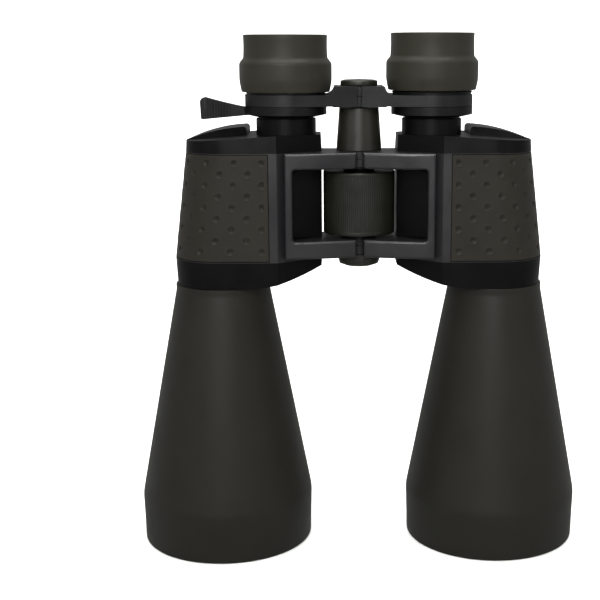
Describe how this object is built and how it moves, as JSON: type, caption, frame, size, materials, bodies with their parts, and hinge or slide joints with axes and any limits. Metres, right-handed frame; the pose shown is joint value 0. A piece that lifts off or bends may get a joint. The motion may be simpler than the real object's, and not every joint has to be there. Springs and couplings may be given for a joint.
{
  "type": "zoom astronomy binoculars",
  "caption": "Large zoom Porro-prism astronomy binoculars with conical barrels, rubber grips, centre focus wheel, zoom lever, folding hinge and tripod socket.",
  "frame": {"origin": "on the standing plane under the hinge axis, midway between the two objective axes", "axes": "+Z from the objective hoods up to the eyecups, +X from the left barrel to the right barrel as seen from -Y, -Y is the side that faces up in use and that the picture shows"},
  "size_m": [0.2308, 0.09, 0.2638],
  "materials": {
    "barrel_rubber": "satin rubber armour on the barrels, grey-brown",
    "grip_rubber": "matte dimpled rubber, grey-brown",
    "eyecup_rubber": "soft satin rubber, grey-brown",
    "wheel_rubber": "satin ribbed rubber, grey-brown",
    "black_aluminium": "black anodised, matte",
    "housing_black": "satin black powder coat",
    "cover_plastic": "fine satin moulded black",
    "ring_plastic": "satin moulded black",
    "olive_paint": "satin grey-brown enamel",
    "coated_glass": "multi-coated, amber reflection",
    "optical_glass": "polished, uncoated sides",
    "spring_steel": "bare",
    "black_steel": "blackened",
    "brass": "machined"
  },
  "bodies": {
    "left_barrel": {"left_objective_armour": "barrel_rubber", "left_objective_tube": "black_aluminium", "left_crown_lens": "coated_glass", "left_flint_lens": "optical_glass", "left_lens_ring": "black_aluminium", "left_prism_housing": "housing_black", "left_grip_armour": "grip_rubber", "left_upper_cover": "cover_plastic", "left_lower_cover": "cover_plastic", "left_upper_prism": "optical_glass", "left_lower_prism": "optical_glass", "left_prism_shelf": "black_aluminium", "left_prism_straps": "spring_steel", "left_cover_screws": "black_steel", "left_guide_tube": "cover_plastic", "hinge_axle": "black_steel", "hinge_washer": "spring_steel", "hinge_tube": "black_aluminium", "cone_sleeve": "olive_paint"},
    "right_barrel": {"right_objective_armour": "barrel_rubber", "right_objective_tube": "black_aluminium", "right_crown_lens": "coated_glass", "right_flint_lens": "optical_glass", "right_lens_ring": "black_aluminium", "right_prism_housing": "housing_black", "right_grip_armour": "grip_rubber", "right_upper_cover": "cover_plastic", "right_lower_cover": "cover_plastic", "right_upper_prism": "optical_glass", "right_lower_prism": "optical_glass", "right_prism_shelf": "black_aluminium", "right_prism_straps": "spring_steel", "right_cover_screws": "black_steel", "right_guide_tube": "cover_plastic"},
    "focus_wheel": {"focus_wheel_core": "cover_plastic", "focus_wheel_grip": "wheel_rubber", "focus_screw": "brass"},
    "left_bridge": {"left_bridge_arm": "housing_black", "focus_spindle": "black_aluminium", "bridge_cap": "olive_paint", "left_ocular_tube": "black_aluminium", "left_eyepiece_head": "cover_plastic", "left_eye_lens": "coated_glass", "left_eyecup": "eyecup_rubber"},
    "right_bridge": {"right_bridge_arm": "housing_black", "right_ocular_tube": "black_aluminium", "right_dioptre_ring": "cover_plastic"},
    "right_dioptre_cell": {"right_eyepiece_head": "cover_plastic", "right_eye_lens": "coated_glass"},
    "right_eyepiece_grip": {"right_eyecup": "eyecup_rubber"},
    "left_zoom_drive": {"left_zoom_ring": "ring_plastic", "left_zoom_cam": "brass"},
    "right_zoom_drive": {"right_zoom_ring": "ring_plastic", "right_zoom_cam": "brass"},
    "left_field_group": {"left_field_cell": "black_aluminium"},
    "left_zoom_group": {"left_zoom_cell": "black_aluminium"},
    "right_field_group": {"right_field_cell": "black_aluminium"},
    "right_zoom_group": {"right_zoom_cell": "black_aluminium"},
    "tripod_socket_cap": {"tripod_cap": "olive_paint"}
  },
  "joints": [
    {"name": "fold", "type": "hinge", "parent": "left_barrel", "child": "right_barrel", "pos_m": [0, 0, 0.18], "axis": [0, 0, 1], "range_deg": [0, 65]},
    {"name": "focus_turn", "type": "hinge", "parent": "left_barrel", "child": "focus_wheel", "pos_m": [0, 0, 0.18], "axis": [0, 0, 1], "range_deg": [0, 360]},
    {"name": "left_focus_slide", "type": "slide", "parent": "left_barrel", "child": "left_bridge", "axis": [0, 0, 1], "range_m": [0, 0.008]},
    {"name": "right_focus_slide", "type": "slide", "parent": "right_barrel", "child": "right_bridge", "axis": [0, 0, 1], "range_m": [0, 0.008]},
    {"name": "zoom_turn", "type": "hinge", "parent": "left_bridge", "child": "left_zoom_drive", "pos_m": [-0.0368, 0, 0.225], "axis": [0, 0, 1], "range_deg": [-40, 40]},
    {"name": "right_zoom_turn", "type": "hinge", "parent": "right_bridge", "child": "right_zoom_drive", "pos_m": [0.0368, 0, 0.225], "axis": [0, 0, 1], "range_deg": [-40, 40]},
    {"name": "left_field_slide", "type": "slide", "parent": "left_bridge", "child": "left_field_group", "axis": [0, 0, 1], "range_m": [-0.0035, 0.0035]},
    {"name": "left_zoom_slide", "type": "slide", "parent": "left_bridge", "child": "left_zoom_group", "axis": [0, 0, 1], "range_m": [-0.0028, 0.0028]},
    {"name": "right_field_slide", "type": "slide", "parent": "right_bridge", "child": "right_field_group", "axis": [0, 0, 1], "range_m": [-0.0035, 0.0035]},
    {"name": "right_zoom_slide", "type": "slide", "parent": "right_bridge", "child": "right_zoom_group", "axis": [0, 0, 1], "range_m": [-0.0028, 0.0028]},
    {"name": "dioptre_lift", "type": "slide", "parent": "right_bridge", "child": "right_dioptre_cell", "axis": [0, 0, 1], "range_m": [-0.00045, 0.00045]},
    {"name": "dioptre_turn", "type": "hinge", "parent": "right_dioptre_cell", "child": "right_eyepiece_grip", "pos_m": [0.0368, 0, 0.24], "axis": [0, 0, 1], "range_deg": [-90, 90]},
    {"name": "tripod_cap_off", "type": "slide", "parent": "left_barrel", "child": "tripod_socket_cap", "axis": [0, 0, -1], "range_m": [0, 0.03]}
  ],
  "couplings": [
    {"joint": "left_focus_slide", "follows": "focus_turn", "m_per_rad": 0.0012732},
    {"joint": "right_focus_slide", "follows": "focus_turn", "m_per_rad": 0.0012732},
    {"joint": "right_zoom_turn", "follows": "zoom_turn", "ratio": 1},
    {"joint": "left_field_slide", "follows": "zoom_turn", "m_per_rad": 0.005},
    {"joint": "left_zoom_slide", "follows": "zoom_turn", "m_per_rad": -0.004},
    {"joint": "right_field_slide", "follows": "zoom_turn", "m_per_rad": 0.005},
    {"joint": "right_zoom_slide", "follows": "zoom_turn", "m_per_rad": -0.004},
    {"joint": "dioptre_lift", "follows": "dioptre_turn", "m_per_rad": 0.000286}
  ]
}
